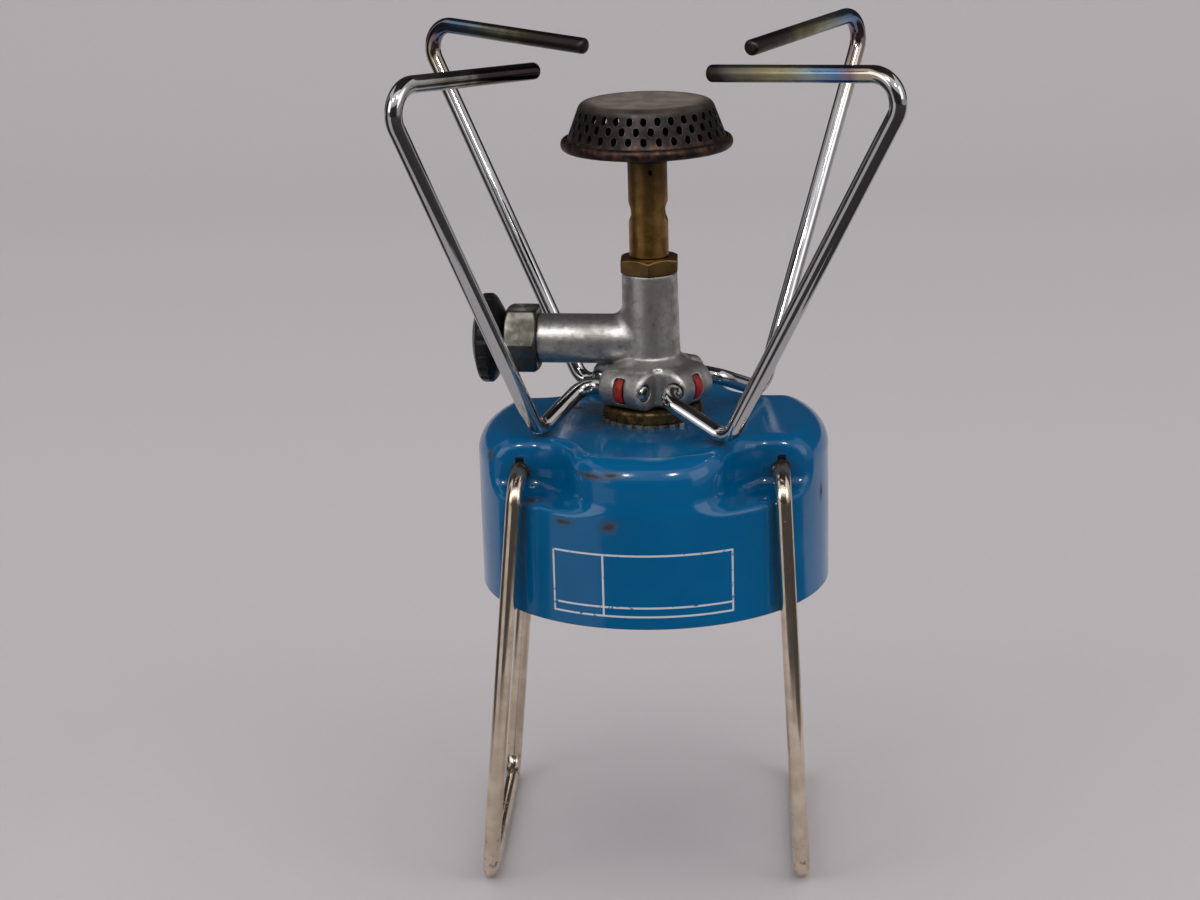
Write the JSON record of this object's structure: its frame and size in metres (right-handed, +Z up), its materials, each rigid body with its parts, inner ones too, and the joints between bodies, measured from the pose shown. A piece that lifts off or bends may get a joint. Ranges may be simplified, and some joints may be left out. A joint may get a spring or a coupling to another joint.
{
  "type": "gas camping stove",
  "caption": "Cartridge stove: a pressed bell on swinging wire bails carries a screw-down valve, burner and folding wire pan supports.",
  "frame": {"origin": "on the burner axis, at the surface that the bails stand on", "axes": "+Z up along the burner axis, -Y towards the picture's viewer, +X to the viewer's right"},
  "size_m": [0.1256, 0.1256, 0.2168],
  "materials": {
    "blue_enamel": "glossy stoved enamel, chipped and stained",
    "bail_steel": "dull nickel plate, worn and rust-specked",
    "arm_chrome": "bright chrome, heat-tinted and sooted at the fingers",
    "bush_brass": "dull turned brass",
    "tube_brass": "heat-darkened brass",
    "plain_steel": "bright steel",
    "cast_alloy": "die cast, stained grey",
    "friction_red": "moulded, matt",
    "seal_rubber": "matt",
    "nut_nickel": "worn nickel plate",
    "wheel_black": "moulded, matt",
    "burnt_steel": "heat-browned pressed steel",
    "filter_bronze": "sintered, porous"
  },
  "bodies": {
    "stand": {"bell": "blue_enamel", "threaded_bush": "bush_brass", "lock_washer": "plain_steel", "bush_locknut": "bush_brass"},
    "bail_right": {"bail_right": "bail_steel"},
    "bail_left": {"bail_left": "bail_steel"},
    "seal": {"seal_washer": "seal_rubber"},
    "head": {"valve_body": "cast_alloy", "friction_rings": "friction_red", "piercing_needle": "plain_steel", "gland_nut": "nut_nickel", "packing_ring": "seal_rubber", "jet_holder": "tube_brass", "jet": "bush_brass", "jet_filter": "filter_bronze", "burner_tube": "tube_brass", "burner_dish": "burnt_steel", "burner_cap": "burnt_steel"},
    "needle": {"valve_needle": "plain_steel"},
    "wheel": {"valve_spindle": "plain_steel", "handwheel": "wheel_black", "handwheel_screw": "plain_steel"},
    "arm_front_right": {"arm_front_right": "arm_chrome"},
    "arm_back_right": {"arm_back_right": "arm_chrome"},
    "arm_back_left": {"arm_back_left": "arm_chrome"},
    "arm_front_left": {"arm_front_left": "arm_chrome"}
  },
  "joints": [
    {"name": "bail_right_swing", "type": "hinge", "parent": "stand", "child": "bail_right", "pos_m": [0.0336, 0, 0.11], "axis": [0, -1, 0], "range_deg": [-2.3, 84]},
    {"name": "bail_left_swing", "type": "hinge", "parent": "stand", "child": "bail_left", "pos_m": [-0.0336, 0, 0.11], "axis": [0, 1, 0], "range_deg": [-5.6, 84]},
    {"name": "head_lift", "type": "slide", "parent": "stand", "child": "seal", "axis": [0, 0, 1], "range_m": [0, 0.0023]},
    {"name": "head_turn", "type": "hinge", "parent": "seal", "child": "head", "pos_m": [0, 0, 0.12], "axis": [0, 0, 1], "range_deg": [0, 540]},
    {"name": "valve_lift", "type": "slide", "parent": "head", "child": "needle", "axis": [-0.9962, 0.0872, 0], "range_m": [0, 0.00115]},
    {"name": "valve_turn", "type": "hinge", "parent": "needle", "child": "wheel", "pos_m": [0, 0, 0.139], "axis": [-0.9962, 0.0872, 0], "range_deg": [0, 540]},
    {"name": "arm_front_right_fold", "type": "hinge", "parent": "head", "child": "arm_front_right", "pos_m": [0.0102, -0.00688, 0.12795], "axis": [-0.5592, -0.829, 0], "range_deg": [0, 28]},
    {"name": "arm_back_right_fold", "type": "hinge", "parent": "head", "child": "arm_back_right", "pos_m": [0.00688, 0.0102, 0.12795], "axis": [0.829, -0.5592, 0], "range_deg": [0, 28]},
    {"name": "arm_back_left_fold", "type": "hinge", "parent": "head", "child": "arm_back_left", "pos_m": [-0.0102, 0.00688, 0.12795], "axis": [0.5592, 0.829, 0], "range_deg": [0, 28]},
    {"name": "arm_front_left_fold", "type": "hinge", "parent": "head", "child": "arm_front_left", "pos_m": [-0.00688, -0.0102, 0.12795], "axis": [-0.829, 0.5592, 0], "range_deg": [0, 28]}
  ],
  "couplings": [
    {"joint": "head_lift", "follows": "head_turn", "m_per_rad": 0.00023873},
    {"joint": "valve_lift", "follows": "valve_turn", "m_per_rad": 0.00011937}
  ]
}
